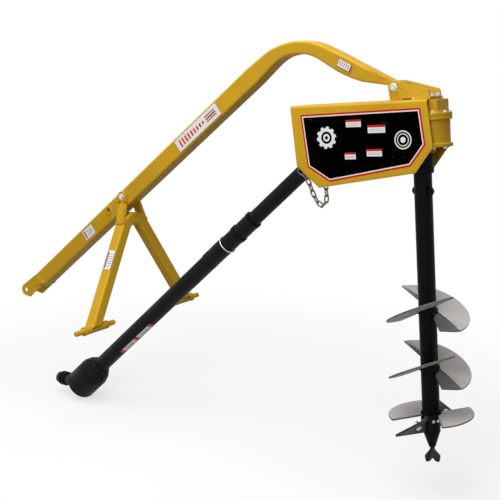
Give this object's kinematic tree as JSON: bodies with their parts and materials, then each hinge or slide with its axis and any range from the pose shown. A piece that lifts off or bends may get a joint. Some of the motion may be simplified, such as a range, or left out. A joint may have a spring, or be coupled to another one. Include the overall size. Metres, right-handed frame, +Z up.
{
  "type": "three-point post hole digger",
  "caption": "Tractor post hole digger: a bent boom with a swinging lift yoke hangs a shielded gearbox that turns an earth auger, driven by a telescoping guarded shaft.",
  "frame": {"origin": "centre of the boom's top-hitch hole, in the middle plane", "axes": "+X from the tractor towards the auger, +Y to the far side, +Z up"},
  "size_m": [2.2506, 0.8, 1.6345],
  "materials": {
    "yellow_paint": "semi-gloss",
    "black_plastic": "satin",
    "black_paint": "satin",
    "grey_flight": "matte",
    "dark_steel": "satin",
    "zinc": "satin",
    "friction": "matte"
  },
  "bodies": {
    "boom": {"boom_tube": "yellow_paint", "hitch_plate_near": "yellow_paint", "hitch_plate_far": "yellow_paint", "alt_pivot_bushing": "yellow_paint", "yoke_pivot_bolt": "zinc", "boom_end_bushing": "yellow_paint", "boom_end_strap": "yellow_paint"},
    "yoke": {"yoke_legs": "yellow_paint", "yoke_strap_near": "yellow_paint", "yoke_strap_far": "yellow_paint", "hitch_sleeve_near": "yellow_paint", "hitch_sleeve_far": "yellow_paint", "hitch_pin_near": "zinc", "hitch_pin_far": "zinc"},
    "head": {"shield": "yellow_paint", "hanger_bracket": "yellow_paint", "hanger_bolt": "zinc", "gearbox_housing": "yellow_paint", "gearbox_cap": "yellow_paint", "cap_bolt_1": "zinc", "cap_bolt_2": "zinc", "cap_bolt_3": "zinc", "cap_bolt_4": "zinc", "input_bearing": "zinc", "output_bearing": "zinc", "guard_chain": "zinc"},
    "auger": {"output_shaft": "zinc", "crown_gear": "dark_steel", "auger_tube": "black_paint", "auger_bolt": "zinc", "flight_1_right": "grey_flight", "flight_1_left": "grey_flight", "flight_2_right": "grey_flight", "flight_2_left": "grey_flight", "bottom_flight_1": "grey_flight", "bottom_flight_2": "grey_flight", "cutting_tooth_1": "dark_steel", "cutting_tooth_2": "dark_steel", "tooth_bolt_1": "zinc", "tooth_bolt_2": "zinc", "fishtail_point": "dark_steel"},
    "input": {"input_shaft": "zinc", "drive_pinion": "dark_steel", "clutch_hub": "dark_steel", "clutch_disc": "friction", "clutch_pressure_plate": "dark_steel", "input_fork": "dark_steel"},
    "inner_guard": {"upper_guard": "black_plastic"},
    "upper_shaft": {"upper_driveshaft": "dark_steel", "upper_cross": "zinc"},
    "outer_guard": {"lower_guard": "black_plastic", "guard_bell": "black_plastic", "guard_ring": "zinc", "guard_clip": "black_plastic"},
    "lower_shaft": {"lower_driveshaft": "dark_steel"},
    "pto_spider": {"pto_cross": "zinc"},
    "pto_end": {"pto_fork": "dark_steel"},
    "lock": {"lock_collar": "black_plastic"}
  },
  "joints": [
    {"name": "yoke_swing", "type": "hinge", "parent": "boom", "child": "yoke", "pos_m": [0.63244, 0, 0.50127], "axis": [0, 1, 0], "range_deg": [-60, 4]},
    {"name": "head_swing", "type": "hinge", "parent": "boom", "child": "head", "pos_m": [1.90534, 0, 0.99141], "axis": [0, 1, 0], "range_deg": [-45, 5]},
    {"name": "auger_spin", "type": "hinge", "parent": "head", "child": "auger", "pos_m": [1.97961, 0, 0.99719], "axis": [-0.0776, 0, 0.997], "continuous": true},
    {"name": "input_spin", "type": "hinge", "parent": "head", "child": "input", "pos_m": [1.91698, 0, 0.84186], "axis": [-0.997, 0, -0.0776], "continuous": true},
    {"name": "driveline_swing", "type": "hinge", "parent": "head", "child": "inner_guard", "pos_m": [1.69305, 0, 0.82443], "axis": [0, 1, 0], "range_deg": [-12, 7], "deforming": ["guard_chain"]},
    {"name": "upper_shaft_spin", "type": "hinge", "parent": "inner_guard", "child": "upper_shaft", "pos_m": [1.69305, 0, 0.82443], "axis": [-0.7449, 0, -0.6672], "continuous": true},
    {"name": "telescope", "type": "slide", "parent": "inner_guard", "child": "outer_guard", "axis": [-0.7449, 0, -0.6672], "range_m": [-0.27, 0.25]},
    {"name": "lower_shaft_spin", "type": "hinge", "parent": "outer_guard", "child": "lower_shaft", "pos_m": [0.3115, 0, -0.41299], "axis": [-0.7449, 0, -0.6672], "continuous": true},
    {"name": "pto_cross_bend", "type": "hinge", "parent": "lower_shaft", "child": "pto_spider", "pos_m": [0.3115, 0, -0.41299], "axis": [0, 1, 0], "range_deg": [-86.85, 3.15]},
    {"name": "pto_fork_bend", "type": "hinge", "parent": "pto_spider", "child": "pto_end", "pos_m": [0.3115, 0, -0.41299], "axis": [0, 0, 1], "range_deg": [-13, 13]},
    {"name": "lock_pull", "type": "slide", "parent": "pto_end", "child": "lock", "axis": [1, 0, 0], "range_m": [0, 0.008], "stiffness_N_per_m": 1500, "springref_m": -0.006}
  ],
  "couplings": [
    {"joint": "input_spin", "follows": "auger_spin", "ratio": 3},
    {"joint": "upper_shaft_spin", "follows": "auger_spin", "ratio": 3},
    {"joint": "lower_shaft_spin", "follows": "auger_spin", "ratio": 3}
  ]
}
